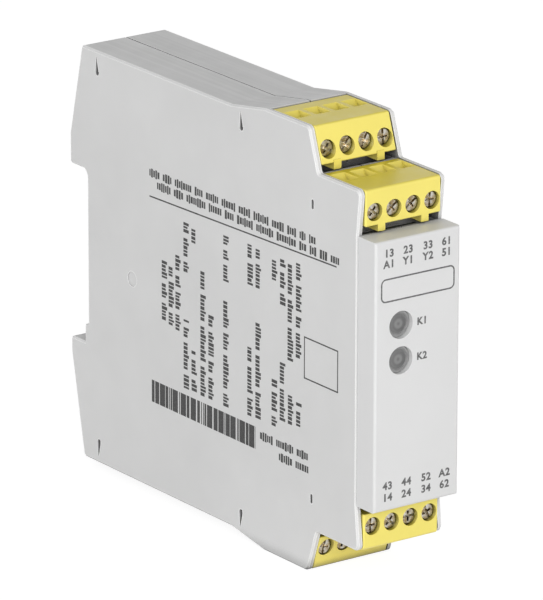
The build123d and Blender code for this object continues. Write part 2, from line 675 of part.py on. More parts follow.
def plug(row):
    """Body of a four-pole plug: wires enter its outer face, screws turn behind its front face."""
    half = PLUG_WIDTH / 2
    shape = slab(plug_profile(row), -half, half)
    shape = chamfer(shape.faces().filter_by(Axis.X).edges(), PLUG_EDGE_BREAK)
    under_y = row.face_y(row.under_z)
    for x in (PLUG_FOOT_INSET - half, half - PLUG_FOOT_INSET):
        shape += block((x - PLUG_FOOT_WIDTH / 2, x + PLUG_FOOT_WIDTH / 2), (under_y, under_y + PRY_DEPTH),
                       (row.low_z, row.under_z + PRY_HEIGHT / 2))
    face = row.screw_y
    collar = face + HEAD_START + HEAD_HEIGHT + COLLAR_GAP
    cavity = (collar + COLLAR, face + CAGE_END + CAGE_GAP)
    cavity_x = CAGE_WIDTH / 2 + CAGE_GAP
    channel_x = CONTACT_WIDTH / 2 + CAGE_GAP
    neck_start = face + BAR_START + BAR_THICK
    mouth_mid = neck_start + FUNNEL_LEAN + FUNNEL_LENGTH / 2
    cavity_low = row.screw_z - CAVITY_LOW
    cavity_top = row.screw_z + CAGE_TOP + CAGE_GAP
    channel_top = row.screw_z + PIN / 2 + SOCKET_GAP + STRIP_THICK + CAGE_GAP
    for x in POLE_X:
        shape -= rod(HEAD_HOLE_RADIUS, x, row.screw_z, row.face_y(row.low_z) - 1, collar)
        shape -= rod(SHANK_RADIUS + SHANK_CLEAR, x, row.screw_z, collar, collar + COLLAR + 0.1)
        shape -= block((x - cavity_x, x + cavity_x), cavity, (cavity_low, cavity_top))
        channel = (cavity[1], row.back_y + 1)
        shape -= block((x - channel_x, x + channel_x), channel, (cavity_low, channel_top))
        neck_place = Plane((x, neck_start + CAGE_WIRE_GAP / 2, cavity_top))
        neck = neck_place * Rectangle(FUNNEL_NECK, CAGE_WIRE_GAP)
        mouth = Plane((x, mouth_mid, row.top_z)) * Rectangle(FUNNEL_WIDTH, FUNNEL_LENGTH)
        shape -= loft([neck.face(), mouth.face()])
    return shape


def contact_set(row):
    """Four bent strips: a bar inside each clamp, and a fork that grips the header's pin."""
    face = row.screw_y
    web_y = row.back_y - SOCKET_DEPTH
    bar_y = face + BAR_START
    low = row.screw_z - STRIP_LOW
    inner = PIN / 2 + SOCKET_GAP
    end_y = row.back_y - STRIP_THICK
    parts = [
        Pos(bar_y + BAR_THICK / 2, (low + row.screw_z + CAGE_TOP) / 2)
        * Rectangle(BAR_THICK, row.screw_z + CAGE_TOP - low),
        Pos((bar_y + web_y) / 2, low + STRIP_THICK / 2) * Rectangle(web_y - bar_y, STRIP_THICK),
        Pos(web_y - STRIP_THICK / 2, (low + row.screw_z + inner + STRIP_THICK) / 2)
        * Rectangle(STRIP_THICK, row.screw_z + inner + STRIP_THICK - low),
    ]
    for side in (-1, 1):
        parts += [Pos((web_y + end_y) / 2 - STRIP_THICK / 2, row.screw_z + side * (inner + STRIP_THICK / 2))
                  * Rectangle(end_y - web_y + STRIP_THICK, STRIP_THICK)]
    outline = Sketch() + parts
    return [slab(outline, x - CONTACT_WIDTH / 2, x + CONTACT_WIDTH / 2) for x in POLE_X]


def screw(row, x):
    """Terminal screw, slotted head towards the front."""
    face = row.screw_y
    head_end = face + HEAD_START + HEAD_HEIGHT
    shape = rod(HEAD_RADIUS, x, row.screw_z, face + HEAD_START, head_end)
    shape += rod(SHANK_RADIUS, x, row.screw_z, head_end, face + CAGE_OPEN + CAGE_THREAD_WALL)
    return shape - block((x - HEAD_RADIUS, x + HEAD_RADIUS), (face, face + HEAD_START + DRIVE_DEPTH),
                         (row.screw_z - DRIVE_SLOT / 2, row.screw_z + DRIVE_SLOT / 2))


def cage(row, x):
    """Clamp that the screw draws to the front; the wire lies between its rear wall and the bar."""
    face = row.screw_y
    half = CAGE_WIDTH / 2
    shape = block((x - half, x + half), (face + CAGE_OPEN, face + CAGE_END),
                  (row.screw_z - CAGE_LOW, row.screw_z + CAGE_TOP))
    shape -= block((x - half + CAGE_WALL, x + half - CAGE_WALL),
                   (face + CAGE_OPEN + CAGE_THREAD_WALL, face + CAGE_INNER_END),
                   (row.screw_z - CAGE_LOW - 1, row.screw_z + CAGE_TOP + 1))
    return shape - rod(SHANK_RADIUS + SHANK_FIT, x, row.screw_z, face + CAGE_OPEN - 1,
                       face + CAGE_OPEN + CAGE_THREAD_WALL + 0.1)


def din_foot():
    """Sprung foot that locks the rail's lower edge; a blade in its slot pulls it down."""
    top = -RAIL_HEIGHT / 2 - STEP_GAP
    start = SLAB_START_Y
    nose_top = -RAIL_HEIGHT / 2 + NOSE_OVERLAP
    head_end = start + HEAD_THICK
    profile = make_face(Polyline(
        (start, FOOT_BOTTOM_Z), (start, top), (HOOK_Y, top), (HOOK_Y, nose_top),
        (head_end - NOSE_CHAMFER, nose_top), (head_end, nose_top - NOSE_CHAMFER), (head_end, HEAD_LOW_Z),
        (start + SLAB_THICK, HEAD_LOW_Z - HEAD_THICK + SLAB_THICK), (start + SLAB_THICK, FOOT_BOTTOM_Z),
        close=True))
    foot = slab(profile, -FOOT_HALF, FOOT_HALF)
    wide = FOOT_HALF + FLANGE_REACH
    foot += block((-wide, wide), (start, start + FLANGE_THICK),
                  (FOOT_BOTTOM_Z + FLANGE_LOW, LEDGE_Z - 3 * FOOT_GAP))
    window = SPRING_RADIUS + SPRING_WIRE / 2 + SPRING_SIDE_GAP
    foot -= block((-window, window), (start - 1, head_end + 1), (WINDOW_LOW_Z, WINDOW_TOP_Z))
    pull_z = FOOT_BOTTOM_Z + PULL_UP
    return foot - block((-PULL_HALF, PULL_HALF), (start - 1, head_end), (pull_z, pull_z + PULL_HEIGHT))


def foot_spring():
    """Compression spring between the shell's lug and the upper edge of the foot's window."""
    low = SPRING_LOW_Z + SPRING_WIRE / 2
    rise = WINDOW_TOP_Z - SPRING_LOW_Z - SPRING_WIRE
    steps = round(SPRING_TURNS * SPRING_STEPS)
    turn = 2 * pi / SPRING_STEPS
    path = Polyline(*[(SPRING_RADIUS * cos(turn * i), SPRING_RADIUS * sin(turn * i), rise * i / steps)
                      for i in range(steps + 1)])
    wire = Plane(path @ 0, z_dir=path % 0) * RegularPolygon(SPRING_WIRE / 2, SPRING_SIDES)
    return Pos(0, SPRING_Y, low) * sweep(wire, path=path, transition=Transition.RIGHT)


def save(shape, name):
    solids = shape if isinstance(shape, list) else [shape]
    if len(solids) == 1:
        export_step(solids[0], f"parts/{name}.step")
    else:
        export_step(Compound(children=solids), f"parts/{name}.step")


save(housing_left(), "housing_left")
save(housing_right(), "housing_right")
save(front_cover(), "front_cover")
save(light_guide(), "light_guide")
save(main_board(), "main_board")
save(capacitor(), "capacitor")
save(din_foot(), "din_foot")
save(foot_spring(), "foot_spring")
for number, (lamp_z, relay_z) in enumerate(zip(LAMP_Z, RELAY_Z), start=1):
    save(lamp(lamp_z), f"lamp_k{number}")
    save(relay(relay_z), f"relay_k{number}")
for place, (row, lower) in PLACES.items():
    save(turned(plug(row), lower), f"plug_{place}")
    save(turned(header(row), lower), f"header_{place}")
    save([turned(solid, lower) for solid in contact_set(row)], f"contacts_{place}")
    save([turned(solid, lower) for solid in pin_set(row)], f"pins_{place}")
    for number, x in enumerate(POLE_X, start=1):
        save(turned(screw(row, x), lower), f"screw_{place}_{number}")
        save(turned(cage(row, x), lower), f"cage_{place}_{number}")
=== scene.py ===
import random
from math import cos, pi, radians, sin

import bmesh
import bpy
from mathutils import Matrix, Vector


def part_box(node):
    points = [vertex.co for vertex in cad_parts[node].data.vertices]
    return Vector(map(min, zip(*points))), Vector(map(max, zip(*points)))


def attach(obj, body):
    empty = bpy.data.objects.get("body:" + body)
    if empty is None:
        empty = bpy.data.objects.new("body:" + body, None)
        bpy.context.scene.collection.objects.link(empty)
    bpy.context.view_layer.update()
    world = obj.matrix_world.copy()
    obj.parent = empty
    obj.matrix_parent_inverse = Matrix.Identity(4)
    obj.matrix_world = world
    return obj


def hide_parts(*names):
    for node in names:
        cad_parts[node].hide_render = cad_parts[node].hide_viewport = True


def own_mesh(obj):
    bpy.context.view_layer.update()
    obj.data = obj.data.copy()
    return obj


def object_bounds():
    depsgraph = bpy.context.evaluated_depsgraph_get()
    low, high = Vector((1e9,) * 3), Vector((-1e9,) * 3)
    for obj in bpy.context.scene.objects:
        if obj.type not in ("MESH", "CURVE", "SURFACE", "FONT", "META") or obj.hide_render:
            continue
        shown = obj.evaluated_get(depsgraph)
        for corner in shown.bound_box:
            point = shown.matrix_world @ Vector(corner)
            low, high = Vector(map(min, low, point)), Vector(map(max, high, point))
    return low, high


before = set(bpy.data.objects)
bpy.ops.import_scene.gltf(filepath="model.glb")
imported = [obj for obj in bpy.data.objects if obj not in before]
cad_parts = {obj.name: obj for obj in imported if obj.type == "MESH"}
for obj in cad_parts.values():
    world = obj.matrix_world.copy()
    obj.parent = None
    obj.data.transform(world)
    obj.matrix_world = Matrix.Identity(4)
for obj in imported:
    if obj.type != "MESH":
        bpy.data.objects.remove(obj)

# Looks of a slim safety relay module for a 35 mm rail.
# Metres, in the frame of the solids: X across, -Y to the front, +Z up.
cad_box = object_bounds()
MM = 0.001
PLACES = ("top_rear", "top_front", "bottom_front", "bottom_rear")
POLES = range(1, 5)

# Camera, at the photograph's viewing angle
IMAGE_WIDTH = 543
SENSOR = 36.0
FOCAL_PIXELS = 7016
AZIMUTH = radians(-35.77)
ELEVATION = radians(18.0)
ROLL = radians(0.13)
DISTANCE = 1.527
AIM = Vector((0, -0.0531, -0.0016))
PAN = (-0.00082, -0.0012)
CLIP_START = 0.01
CLIP_END = 100.0


def make_camera():
    back = Vector((sin(AZIMUTH) * cos(ELEVATION), -cos(AZIMUTH) * cos(ELEVATION), sin(ELEVATION)))
    level = Vector((cos(AZIMUTH), sin(AZIMUTH), 0))
    steep = back.cross(level)
    right = level * cos(ROLL) + steep * sin(ROLL)
    up = steep * cos(ROLL) - level * sin(ROLL)
    data = bpy.data.cameras.new("camera")
    data.sensor_fit = "HORIZONTAL"
    data.sensor_width = SENSOR
    data.lens = FOCAL_PIXELS / IMAGE_WIDTH * SENSOR
    data.clip_start = CLIP_START
    data.clip_end = CLIP_END
    camera = bpy.data.objects.new("camera", data)
    bpy.context.scene.collection.objects.link(camera)
    camera.matrix_world = Matrix((right, up, back)).transposed().to_4x4()
    camera.location = AIM - PAN[0] * right - PAN[1] * up + DISTANCE * back
    bpy.context.scene.camera = camera


make_camera()
bpy.context.scene.view_settings.view_transform = "Standard"

# Node helpers
NOISE_LOW = 0.3              # noise mostly stays between these
NOISE_HIGH = 0.7
MIX_FACTOR, MIX_FIRST, MIX_SECOND = 0, 6, 7     # inputs of a mix of colours
MIX_COLOUR = 2                                  # its output
EDGE_SAMPLES = 6
EDGE_DOTS = (0.86, 0.995)    # rounded normal times true one: on an edge, on flat ground
RECESS_SAMPLES = 8
LEVEL_RISE = (0.6, 0.95)     # Z of the normal where a face starts to count as level, and does


def add(tree, kind, inputs=None, **settings):
    """A node with its settings; inputs holds plain values or sockets to link."""
    made = tree.nodes.new(kind)
    for key, value in settings.items():
        setattr(made, key, value)
    for key, value in (inputs or {}).items():
        if isinstance(value, bpy.types.NodeSocket):
            tree.links.new(value, made.inputs[key])
        else:
            made.inputs[key].default_value = value
    return made


def new_material(name, **sockets):
    """A material, its node tree and its shader; sockets are the shader's, with _ for a space."""
    made = bpy.data.materials.new(name)
    made.use_nodes = True
    shader = made.node_tree.nodes["Principled BSDF"]
    for key, value in sockets.items():
        shader.inputs[key.replace("_", " ")].default_value = value
    return made, made.node_tree, shader


def position(tree):
    return add(tree, "ShaderNodeTexCoord").outputs["Object"]


def stretched(tree, scale):
    mapping = add(tree, "ShaderNodeMapping", {"Vector": position(tree), "Scale": scale})
    return mapping.outputs["Vector"]


def noise(tree, size, detail=3.0, vector=None):
    """Noise with lumps of that size in metres."""
    made = add(tree, "ShaderNodeTexNoise", {
        "Vector": vector or position(tree), "Scale": 1 / size, "Detail": detail})
    return made.outputs["Fac"]


def ranged(tree, value, low, high, start=NOISE_LOW, end=NOISE_HIGH):
    """The value's range from start to end, turned into that from low to high."""
    made = add(tree, "ShaderNodeMapRange", {
        "Value": value, "From Min": start, "From Max": end, "To Min": low, "To Max": high})
    return made.outputs["Result"]


def blended(tree, factor, first, second):
    """Mix of two colours, each a colour or a socket."""
    made = add(tree, "ShaderNodeMix", {MIX_FACTOR: factor, MIX_FIRST: first, MIX_SECOND: second},
               data_type="RGBA")
    return made.outputs[MIX_COLOUR]


def calculated(tree, operation, first, second):
    return add(tree, "ShaderNodeMath", {0: first, 1: second}, operation=operation).outputs[0]


def vector_math(tree, operation, *vectors):
    return add(tree, "ShaderNodeVectorMath", dict(enumerate(vectors)), operation=operation)


def edges(tree, radius):
    """1 on edges that the radius reaches, 0 on flat ground: the mask of painted edge highlights."""
    bevel = add(tree, "ShaderNodeBevel", {"Radius": radius}, samples=EDGE_SAMPLES)
    true = add(tree, "ShaderNodeNewGeometry").outputs["Normal"]
    dot = vector_math(tree, "DOT_PRODUCT", bevel.outputs["Normal"], true)
    return ranged(tree, dot.outputs["Value"], 1.0, 0.0, *EDGE_DOTS)


def painted_shade_mask(tree, distance, start, end):
    """1 in narrow recesses and inside, 0 on open ground: the mask of painted shade."""
    open_share = add(tree, "ShaderNodeAmbientOcclusion", {"Distance": distance},
                     samples=RECESS_SAMPLES)
    return ranged(tree, open_share.outputs["AO"], 1.0, 0.0, start, end)


def upright(tree):
    """1 on what faces up, 0 on the rest."""
    normal = add(tree, "ShaderNodeTexCoord").outputs["Normal"]
    height = add(tree, "ShaderNodeSeparateXYZ", {"Vector": normal}).outputs["Z"]
    return ranged(tree, height, 0.0, 1.0, *LEVEL_RISE)


def bumped(tree, shader, height, strength, distance):
    bump = add(tree, "ShaderNodeBump", {
        "Height": height, "Strength": strength, "Distance": distance})
    tree.links.new(bump.outputs["Normal"], shader.inputs["Normal"])


def coloured(tree, shader, tone, sheen, low, high):
    """Links the colour, and a roughness that follows the sheen noise from low to high."""
    tree.links.new(tone, shader.inputs["Base Color"])
    tree.links.new(ranged(tree, sheen, low, high), shader.inputs["Roughness"])


def tinted(colour, factor):
    return tuple(min(channel * factor, 1.0) for channel in colour[:3]) + (1.0,)


def grey(level):
    return (level, level, level, 1.0)


# Moulded plastic
PATCH_SIZE = 20 * MM
STREAK_SCALE = (700.0, 9.0, 60.0)
STREAK_DETAIL = 4.0
STREAK_RANGE = (0.35, 0.62)
STREAK_TONE = 0.6
RUB_SIZE = 4 * MM
RUB_DETAIL = 5.0
RUB_SPREAD = 0.07
GRAIN_SIZE = 0.3 * MM
GRAIN_DETAIL = 2.0
GRAIN_STRENGTH = 0.22
GRAIN_HEIGHT = 0.04 * MM


def moulded(name, colour, roughness, mottling=0.03, edge_radius=0.4 * MM, edge_highlight=1.12,
            streaks=0.0, shaded_top_colour=None, recess_shade=(6 * MM, 0.15, 0.75, 0.06), **sockets):
    """Moulded plastic: faint mottling, fine grain, painted highlights on the edges, painted shade
    in recesses.

    streaks is the strength of darker lengthwise streaks on faces that look up, and
    shaded_top_colour the colour of the painted shade there. recess holds the reach, the openness
    between which the tone of the painted shade falls, and the tone inside.
    """
    made, tree, shader = new_material(name, **sockets)
    tone = blended(tree, ranged(tree, noise(tree, PATCH_SIZE), 0.0, 1.0),
                   tinted(colour, 1 - mottling), tinted(colour, 1 + mottling))
    # Darker lengthwise streaks on faces that look up.
    if streaks:
        lines = noise(tree, 1.0, STREAK_DETAIL, stretched(tree, STREAK_SCALE))
        dark = calculated(tree, "MULTIPLY", upright(tree),
                          ranged(tree, lines, 0.0, 1.0, *STREAK_RANGE))
        tone = blended(tree, calculated(tree, "MULTIPLY", dark, streaks),
                       tone, tinted(colour, STREAK_TONE))
    # Painted shade: faces that look up take a darker, more saturated colour.
    if shaded_top_colour:
        tone = blended(tree, upright(tree), tone, tinted(shaded_top_colour, 1.0))
    # Painted highlight: edges are lightened by the edge gain.
    tone = blended(tree, edges(tree, edge_radius), tone, tinted(colour, edge_highlight))
    # Painted shade: recesses and the inside of the shell take a darker tone, where shade falls.
    reach, closed, opened, shade_tone = recess_shade
    tone = blended(tree, painted_shade_mask(tree, reach, closed, opened), tone, tinted(colour, shade_tone))
    coloured(tree, shader, tone, noise(tree, RUB_SIZE, RUB_DETAIL),
             roughness - RUB_SPREAD, roughness + RUB_SPREAD)
    bumped(tree, shader, noise(tree, GRAIN_SIZE, GRAIN_DETAIL), GRAIN_STRENGTH, GRAIN_HEIGHT)
    return made


# Plated metal
TINT_DETAIL = 4.0
TINT_RANGE = (0.4, 0.62)
PLATED_EDGE = 0.12 * MM
PLATED_EDGE_HIGHLIGHT = 1.25
SCRATCH_SCALE = (9000.0, 1500.0, 900.0)
SCRATCH_DETAIL = 3.0
SCRATCH_SPREAD = (-0.08, 0.12)
SCRATCH_STRENGTH = 0.2
SCRATCH_HEIGHT = 0.02 * MM


def plated(name, colour, second, roughness, tint_size=1.2 * MM):
    """Plated metal whose tint and gloss wander, with fine scratches and painted highlights on its
    edges.
    """
    made, tree, shader = new_material(name, Metallic=1.0)
    tints = noise(tree, tint_size, TINT_DETAIL)
    tone = blended(tree, ranged(tree, tints, 0.0, 1.0, *TINT_RANGE), colour, second)
    # Painted highlight on the edges.
    tone = blended(tree, edges(tree, PLATED_EDGE), tone, tinted(colour, PLATED_EDGE_HIGHLIGHT))
    scratches = noise(tree, 1.0, SCRATCH_DETAIL, stretched(tree, SCRATCH_SCALE))
    glossy, dull = SCRATCH_SPREAD
    coloured(tree, shader, tone, scratches, roughness + glossy, roughness + dull)
    bumped(tree, shader, scratches, SCRATCH_STRENGTH, SCRATCH_HEIGHT)
    return made


# Solder resist
RESIST_GREENS = ((0.012, 0.16, 0.07, 1), (0.02, 0.21, 0.09, 1))
RESIST_LINE = (0.008, 0.1, 0.045, 1)
TRACK_STRETCH = (120.0, 120.0, 120.0)
TRACK_SCALE = 3.0
TRACK_LINE = 0.05
TRACK_STRENGTH = 0.3
TRACK_HEIGHT = 0.05 * MM
RESIST_SHEEN_SIZE = 2 * MM
RESIST_ROUGHNESS = (0.3, 0.42)


def resist(name):
    """Solder resist over fine copper tracks."""
    made, tree, shader = new_material(name, Coat_Weight=0.3, Coat_Roughness=0.2)
    tracks = add(tree, "ShaderNodeTexBrick", {
        "Vector": stretched(tree, TRACK_STRETCH), "Scale": TRACK_SCALE,
        "Color1": RESIST_GREENS[0], "Color2": RESIST_GREENS[1], "Mortar": RESIST_LINE,
        "Mortar Size": TRACK_LINE})
    coloured(tree, shader, tracks.outputs["Color"], noise(tree, RESIST_SHEEN_SIZE),
             *RESIST_ROUGHNESS)
    bumped(tree, shader, tracks.outputs["Fac"], TRACK_STRENGTH, TRACK_HEIGHT)
    return made


# Smoked lens
LAMP_X = -4.35 * MM
LAMP_Z = (9.35 * MM, 1.45 * MM)
RING_REACH = 3 * MM
PAINTED_LENS_RINGS = (
    # share of RING_REACH from the lamp's axis, tone of the painted shade and light
    (0.0, 0.06), (0.14, 0.2), (0.3, 0.22), (0.44, 0.07),
    (0.6, 0.19), (0.74, 0.08), (0.86, 0.3), (1.0, 0.62),
)
RING_SHARE = 0.75            # of the rings in the tone
SMOKE = (0.15, 0.21)
SMOKE_SIZE = 1.5 * MM
SMOKE_DETAIL = 4.0
LENS_RIM_HIGHLIGHT = 0.42
LENS_EDGE = 0.15 * MM
LENS_SHEEN_SIZE = 0.6 * MM
LENS_ROUGHNESS = (0.3, 0.45)
FROST_SIZE = 0.2 * MM
FROST_STRENGTH = 0.25
FROST_HEIGHT = 0.03 * MM


def lamp_distance(tree):
    """Distance from the nearer lamp's axis."""
    near = None
    for lamp_z in LAMP_Z:
        away = vector_math(tree, "SUBTRACT", position(tree), (LAMP_X, 0.0, lamp_z))
        flat = vector_math(tree, "MULTIPLY", away.outputs["Vector"], (1.0, 0.0, 1.0))
        length = vector_math(tree, "LENGTH", flat.outputs["Vector"]).outputs["Value"]
        near = calculated(tree, "MINIMUM", near, length) if near else length
    return near


def smoked(name):
    """Smoked clear plastic with a frosted face, painted shade and light in rings, and a painted
    highlight at the rim.
    """
    made, tree, shader = new_material(name, Coat_Weight=0.35, Coat_Roughness=0.12)
    clouds = ranged(tree, noise(tree, SMOKE_SIZE, SMOKE_DETAIL), 0.0, 1.0)
    tone = blended(tree, clouds, grey(SMOKE[0]), grey(SMOKE[1]))
    # Painted shade and light in rings round each lamp's axis.
    share = calculated(tree, "MULTIPLY", lamp_distance(tree), 1 / RING_REACH)
    rings = add(tree, "ShaderNodeValToRGB", {"Fac": share})
    ramp = rings.color_ramp
    ramp.interpolation = "B_SPLINE"
    ramp.elements[0].color = grey(PAINTED_LENS_RINGS[0][1])
    ramp.elements[1].color = grey(PAINTED_LENS_RINGS[-1][1])
    for place, level in PAINTED_LENS_RINGS[1:-1]:
        ramp.elements.new(place).color = grey(level)
    tone = blended(tree, RING_SHARE, tone, rings.outputs["Color"])
    # Painted highlight at the lens rim.
    tone = blended(tree, edges(tree, LENS_EDGE), tone, grey(LENS_RIM_HIGHLIGHT))
    coloured(tree, shader, tone, noise(tree, LENS_SHEEN_SIZE), *LENS_ROUGHNESS)
    bumped(tree, shader, noise(tree, FROST_SIZE), FROST_STRENGTH, FROST_HEIGHT)
    return made


# Lamp resin
RESIN_GREENS = ((0.04, 0.3, 0.08, 1), (0.09, 0.45, 0.14, 1))
RESIN_TINT_SIZE = 1 * MM
RESIN_SHEEN_SIZE = 0.8 * MM
RESIN_ROUGHNESS = (0.12, 0.25)
RIPPLE_SIZE = 0.5 * MM
RIPPLE_STRENGTH = 0.1
RIPPLE_HEIGHT = 0.02 * MM


def tinted_resin(name):
    """Tinted lamp resin of uneven green, with faint ripples."""
    made, tree, shader = new_material(name, Transmission_Weight=0.35, IOR=1.5)
    tone = blended(tree, ranged(tree, noise(tree, RESIN_TINT_SIZE), 0.0, 1.0), *RESIN_GREENS)
    coloured(tree, shader, tone, noise(tree, RESIN_SHEEN_SIZE), *RESIN_ROUGHNESS)
    bumped(tree, shader, noise(tree, RIPPLE_SIZE), RIPPLE_STRENGTH, RIPPLE_HEIGHT)
    return made


# Ink
INK_SIZE = 0.35 * MM
INK_DETAIL = 4.0
INK_BREAKS = (0.45, 0.68)
THIN_INK = 2.2               # tone of thin ink to that of thick ink
INK_SHEEN_SIZE = 0.4 * MM
INK_ROUGHNESS = (0.4, 0.6)


def ink(name, level):
    """Pad-printed ink, slightly broken where it is thin."""
    made, tree, shader = new_material(name)
    thin = ranged(tree, noise(tree, INK_SIZE, INK_DETAIL), 0.0, 1.0, *INK_BREAKS)
    tone = blended(tree, thin, grey(level), grey(level * THIN_INK))
    coloured(tree, shader, tone, noise(tree, INK_SHEEN_SIZE), *INK_ROUGHNESS)
    return made


# Materials
HOUSING_GREY = (0.67, 0.67, 0.668)
COVER_GREY = (0.7, 0.7, 0.7)
PLUG_YELLOW = (0.88, 0.755, 0.16)
# Colour of the painted shade on the plug's faces that look up
SHADED_TOP_YELLOW = (0.72, 0.595, 0.05)
HEADER_BLACK = (0.035, 0.035, 0.037)
RELAY_BLACK = (0.03, 0.032, 0.036)
FOOT_BLACK = (0.07, 0.07, 0.072)
PLATING = (0.6, 0.58, 0.53, 1)
GILDING = (0.3, 0.22, 0.1, 1)
ZINC = ((0.7, 0.7, 0.68, 1), (0.6, 0.6, 0.58, 1))
TINNING = ((0.74, 0.72, 0.68, 1), (0.64, 0.61, 0.55, 1))
ALUMINIUM = ((0.6, 0.61, 0.63, 1), (0.52, 0.53, 0.56, 1))
STEEL = ((0.55, 0.55, 0.55, 1), (0.45, 0.44, 0.42, 1))

# Moulded plastics, with painted highlights on their edges and painted shade in their recesses
HOUSING = moulded("housing_plastic", HOUSING_GREY, 0.5, streaks=0.22,
                  edge_radius=0.5 * MM, edge_highlight=1.48)
COVER = moulded("cover_plastic", COVER_GREY, 0.45, mottling=0.015, edge_highlight=1.1,
                recess_shade=(2 * MM, 0.0, 0.4, 0.6))
PLUG = moulded("plug_plastic", PLUG_YELLOW, 0.38, mottling=0.025, edge_radius=0.25 * MM,
               edge_highlight=1.1, shaded_top_colour=SHADED_TOP_YELLOW, recess_shade=(3 * MM, 0.25, 0.78, 0.15),
               Coat_Weight=0.15, Coat_Roughness=0.3)
HEADER = moulded("header_plastic", HEADER_BLACK, 0.5, edge_highlight=1.5)
RELAY = moulded("relay_plastic", RELAY_BLACK, 0.3, edge_highlight=1.6, Coat_Weight=0.2)
FOOT = moulded("foot_plastic", FOOT_BLACK, 0.5, edge_highlight=1.5)
SCREW = plated("screw_plating", PLATING, GILDING, 0.26)
CAGE = plated("cage_plating", *ZINC, 0.32)
TIN = plated("tin_plating", *TINNING, 0.34)
CAN = plated("can_sleeve", *ALUMINIUM, 0.38, tint_size=4 * MM)
WIRE = plated("spring_wire", *STEEL, 0.3, tint_size=2 * MM)
BOARD = resist("solder_resist")
LENS = smoked("smoked_lens")
LAMP = tinted_resin("lamp_resin")
WALL_INK = ink("wall_ink", 0.025)
COVER_INK = ink("cover_ink", 0.09)

NODE_MATERIALS = {
    "housing_left": HOUSING, "housing_right": HOUSING, "front_cover": COVER, "light_guide": LENS,
    "main_board": BOARD, "capacitor": CAN, "din_foot": FOOT, "foot_spring": WIRE,
    "lamp_k1": LAMP, "lamp_k2": LAMP, "relay_k1": RELAY, "relay_k2": RELAY,
}
for place in PLACES:
    NODE_MATERIALS[f"plug_{place}"] = PLUG
    NODE_MATERIALS[f"header_{place}"] = HEADER
    NODE_MATERIALS[f"contacts_{place}"] = TIN
    NODE_MATERIALS[f"pins_{place}"] = TIN
    for pole in POLES:
        NODE_MATERIALS[f"screw_{place}_{pole}"] = SCREW
        NODE_MATERIALS[f"cage_{place}_{pole}"] = CAGE

for node, node_material in NODE_MATERIALS.items():
    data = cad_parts[node].data
    if not data.materials:
        data.materials.append(node_material)
    for index in range(len(data.materials)):
        data.materials[index] = node_material


# Mesh helpers
def linked(name, data):
    """A new object with that data, in the scene."""
    made = bpy.data.objects.new(name, data)
    bpy.context.scene.collection.objects.link(made)
    return made


def mesh_from(name, bm):
    data = bpy.data.meshes.new(name)
    bm.to_mesh(data)
    bm.free()
    return data


def smoothed(data, angle):
    """Smooth faces, with edges sharp past that many degrees."""
    data.shade_smooth()
    data.set_sharp_from_angle(angle=radians(angle))


def piece(name, bm, material, body, smooth_angle=None):
    """A new piece that rides on a body, smooth if it is given an angle."""
    bmesh.ops.recalc_face_normals(bm, faces=bm.faces)
    data = mesh_from(name, bm)
    data.materials.append(material)
    if smooth_angle is not None:
        smoothed(data, smooth_angle)
    made = linked(name, data)
    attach(made, body)
    return made


def prism(bm, outline, lift):
    """Closed thin solid: an outline of points, and the same points moved by lift."""
    low = [bm.verts.new(point) for point in outline]
    high = [bm.verts.new(Vector(point) + lift) for point in outline]
    bm.faces.new(low)
    bm.faces.new(reversed(high))
    count = len(outline)
    for i in range(count):
        j = (i + 1) % count
        bm.faces.new((low[i], high[i], high[j], low[j]))


def ring_prism(bm, inner, outer, lift):
    """Closed thin ring between two outlines with as many points each."""
    loops = [[bm.verts.new(Vector(point) + shift) for point in line]
             for shift in (Vector(), lift) for line in (inner, outer)]
    count = len(inner)
    for i in range(count):
        j = (i + 1) % count
        for first, second in ((0, 1), (1, 3), (3, 2), (2, 0)):
            bm.faces.new((loops[first][i], loops[first][j], loops[second][j], loops[second][i]))


def joined_rings(bm, loops):
    """Faces between each closed loop of vertices and the next."""
    for near, far in zip(loops, loops[1:]):
        count = len(near)
        for i in range(count):
            j = (i + 1) % count
            bm.faces.new((near[i], near[j], far[j], far[i]))


def lathe(bm, rings, segments):
    """Closed solid round the Y axis; a ring is y and its radius as a function of the angle."""
    loops = []
    for y, radius in rings:
        loops.append([bm.verts.new((radius(angle) * cos(angle), y, radius(angle) * sin(angle)))
                      for angle in (2 * pi * i / segments for i in range(segments))])
    joined_rings(bm, loops)
    for loop, y in ((loops[0], rings[0][0]), (loops[-1], rings[-1][0])):
        middle = bm.verts.new((0, y, 0))
        for i in range(segments):
            bm.faces.new((middle, loop[i], loop[(i + 1) % segments]))


def steady(radius):
    """The same radius at every angle."""
    return lambda angle: radius


# Print on the front cover: row numbers, the lamps' names and the frame of the blank label
COVER_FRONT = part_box("front_cover")[0][1]
PRINT_THICK = 0.03 * MM
PRINT_SINK = 0.01 * MM
NUMBER_X = (-7.6, -2.6, 2.6, 7.5)
NUMBER_ROWS = (
    (25.7, ("13", "23", "33", "61")),
    (23.3, ("A1", "Y1", "Y2", "51")),
    (-26.1, ("43", "44", "52", "A2")),
    (-28.7, ("14", "24", "34", "62")),
)
NUMBER_SIZE = 2.35
LAMP_NAMES = ((1.2, 9.2, "K1"), (1.2, 1.4, "K2"))
LAMP_NAME_SIZE = 2.2
LETTER_WEIGHT = 0.085 * MM
LETTER_SPACE = 1.12
LETTER_STEPS = 4
LABEL_HALF_WIDTH = 9.7
LABEL_HEIGHTS = (14.9, 20.2)
LABEL_ROUND = 1.25
LABEL_LINE = 0.34
CORNER_STEPS = 6


